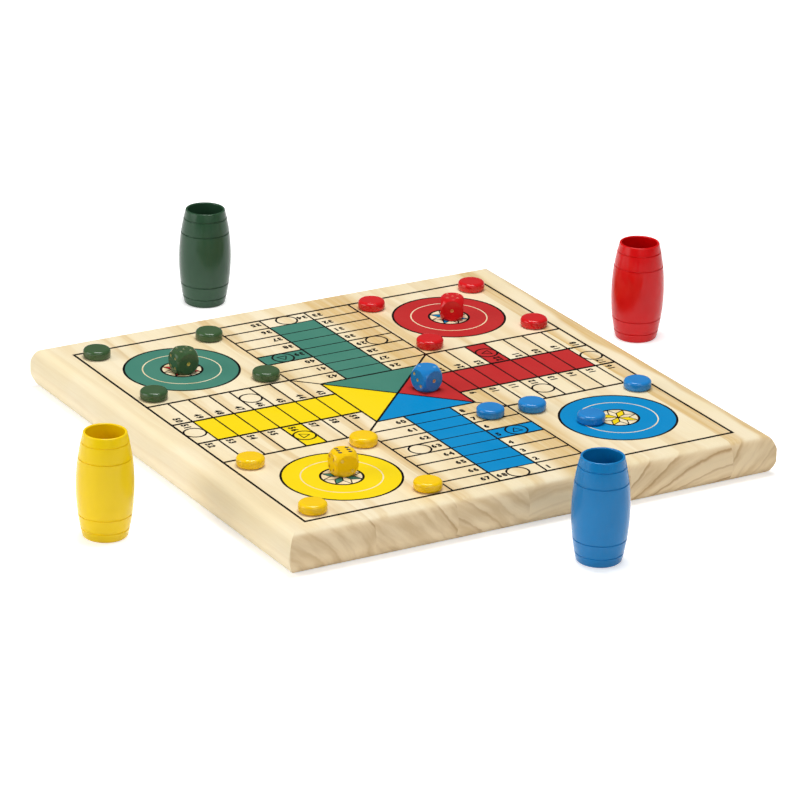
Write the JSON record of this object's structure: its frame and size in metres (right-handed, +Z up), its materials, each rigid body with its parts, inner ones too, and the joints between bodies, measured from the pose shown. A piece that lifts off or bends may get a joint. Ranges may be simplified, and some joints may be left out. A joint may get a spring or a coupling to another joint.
{
  "type": "parchis board game set",
  "caption": "Flat square pine parchis board with rounded edges, set out with turned counters, rounded dice and barrel-shaped dice cups in green, red, blue and yellow.",
  "frame": {"origin": "centre of the board's underside, on the surface that the board rests on", "axes": "+Z up out of the printed face; +Y along the grain of the staves, from the side where the numbers run from one to eight towards the opposite side; +X towards the blue and red homes"},
  "size_m": [0.479, 0.5033, 0.064],
  "materials": {
    "pine": "clear satin lacquer over edge-glued pine",
    "green_paint": "gloss paint on turned beech",
    "red_paint": "gloss paint on turned beech",
    "blue_paint": "gloss paint on turned beech",
    "yellow_paint": "gloss paint on turned beech"
  },
  "bodies": {
    "board": {"stave_1": "pine", "stave_2": "pine", "stave_3": "pine", "stave_4": "pine", "stave_5": "pine", "stave_6": "pine"},
    "green_counter_1": {"green_counter_1": "green_paint"},
    "green_counter_2": {"green_counter_2": "green_paint"},
    "green_counter_3": {"green_counter_3": "green_paint"},
    "green_counter_4": {"green_counter_4": "green_paint"},
    "red_counter_1": {"red_counter_1": "red_paint"},
    "red_counter_2": {"red_counter_2": "red_paint"},
    "red_counter_3": {"red_counter_3": "red_paint"},
    "red_counter_4": {"red_counter_4": "red_paint"},
    "blue_counter_1": {"blue_counter_1": "blue_paint"},
    "blue_counter_2": {"blue_counter_2": "blue_paint"},
    "blue_counter_3": {"blue_counter_3": "blue_paint"},
    "blue_counter_4": {"blue_counter_4": "blue_paint"},
    "yellow_counter_1": {"yellow_counter_1": "yellow_paint"},
    "yellow_counter_2": {"yellow_counter_2": "yellow_paint"},
    "yellow_counter_3": {"yellow_counter_3": "yellow_paint"},
    "yellow_counter_4": {"yellow_counter_4": "yellow_paint"},
    "green_die": {"green_die": "green_paint"},
    "red_die": {"red_die": "red_paint"},
    "blue_die": {"blue_die": "blue_paint"},
    "yellow_die": {"yellow_die": "yellow_paint"},
    "green_cup": {"green_cup": "green_paint"},
    "red_cup": {"red_cup": "red_paint"},
    "blue_cup": {"blue_cup": "blue_paint"},
    "yellow_cup": {"yellow_cup": "yellow_paint"}
  },
  "joints": [
    {"name": "green_counter_1_lift", "type": "slide", "parent": "board", "child": "green_counter_1", "axis": [0, 0, 1], "range_m": [0, 0.06]},
    {"name": "green_counter_2_lift", "type": "slide", "parent": "board", "child": "green_counter_2", "axis": [0, 0, 1], "range_m": [0, 0.06]},
    {"name": "green_counter_3_lift", "type": "slide", "parent": "board", "child": "green_counter_3", "axis": [0, 0, 1], "range_m": [0, 0.06]},
    {"name": "green_counter_4_lift", "type": "slide", "parent": "board", "child": "green_counter_4", "axis": [0, 0, 1], "range_m": [0, 0.06]},
    {"name": "red_counter_1_lift", "type": "slide", "parent": "board", "child": "red_counter_1", "axis": [0, 0, 1], "range_m": [0, 0.06]},
    {"name": "red_counter_2_lift", "type": "slide", "parent": "board", "child": "red_counter_2", "axis": [0, 0, 1], "range_m": [0, 0.06]},
    {"name": "red_counter_3_lift", "type": "slide", "parent": "board", "child": "red_counter_3", "axis": [0, 0, 1], "range_m": [0, 0.06]},
    {"name": "red_counter_4_lift", "type": "slide", "parent": "board", "child": "red_counter_4", "axis": [0, 0, 1], "range_m": [0, 0.06]},
    {"name": "blue_counter_1_lift", "type": "slide", "parent": "board", "child": "blue_counter_1", "axis": [0, 0, 1], "range_m": [0, 0.06]},
    {"name": "blue_counter_2_lift", "type": "slide", "parent": "board", "child": "blue_counter_2", "axis": [0, 0, 1], "range_m": [0, 0.06]},
    {"name": "blue_counter_3_lift", "type": "slide", "parent": "board", "child": "blue_counter_3", "axis": [0, 0, 1], "range_m": [0, 0.06]},
    {"name": "blue_counter_4_lift", "type": "slide", "parent": "board", "child": "blue_counter_4", "axis": [0, 0, 1], "range_m": [0, 0.06]},
    {"name": "yellow_counter_1_lift", "type": "slide", "parent": "board", "child": "yellow_counter_1", "axis": [0, 0, 1], "range_m": [0, 0.06]},
    {"name": "yellow_counter_2_lift", "type": "slide", "parent": "board", "child": "yellow_counter_2", "axis": [0, 0, 1], "range_m": [0, 0.06]},
    {"name": "yellow_counter_3_lift", "type": "slide", "parent": "board", "child": "yellow_counter_3", "axis": [0, 0, 1], "range_m": [0, 0.06]},
    {"name": "yellow_counter_4_lift", "type": "slide", "parent": "board", "child": "yellow_counter_4", "axis": [0, 0, 1], "range_m": [0, 0.06]},
    {"name": "green_die_lift", "type": "slide", "parent": "board", "child": "green_die", "axis": [0, 0, 1], "range_m": [0, 0.06]},
    {"name": "red_die_lift", "type": "slide", "parent": "board", "child": "red_die", "axis": [0, 0, 1], "range_m": [0, 0.06]},
    {"name": "blue_die_lift", "type": "slide", "parent": "board", "child": "blue_die", "axis": [0, 0, 1], "range_m": [0, 0.06]},
    {"name": "yellow_die_lift", "type": "slide", "parent": "board", "child": "yellow_die", "axis": [0, 0, 1], "range_m": [0, 0.06]},
    {"name": "green_cup_lift", "type": "slide", "parent": "board", "child": "green_cup", "axis": [0, 0, 1], "range_m": [0, 0.09]},
    {"name": "red_cup_lift", "type": "slide", "parent": "board", "child": "red_cup", "axis": [0, 0, 1], "range_m": [0, 0.09]},
    {"name": "blue_cup_lift", "type": "slide", "parent": "board", "child": "blue_cup", "axis": [0, 0, 1], "range_m": [0, 0.09]},
    {"name": "yellow_cup_lift", "type": "slide", "parent": "board", "child": "yellow_cup", "axis": [0, 0, 1], "range_m": [0, 0.09]}
  ]
}
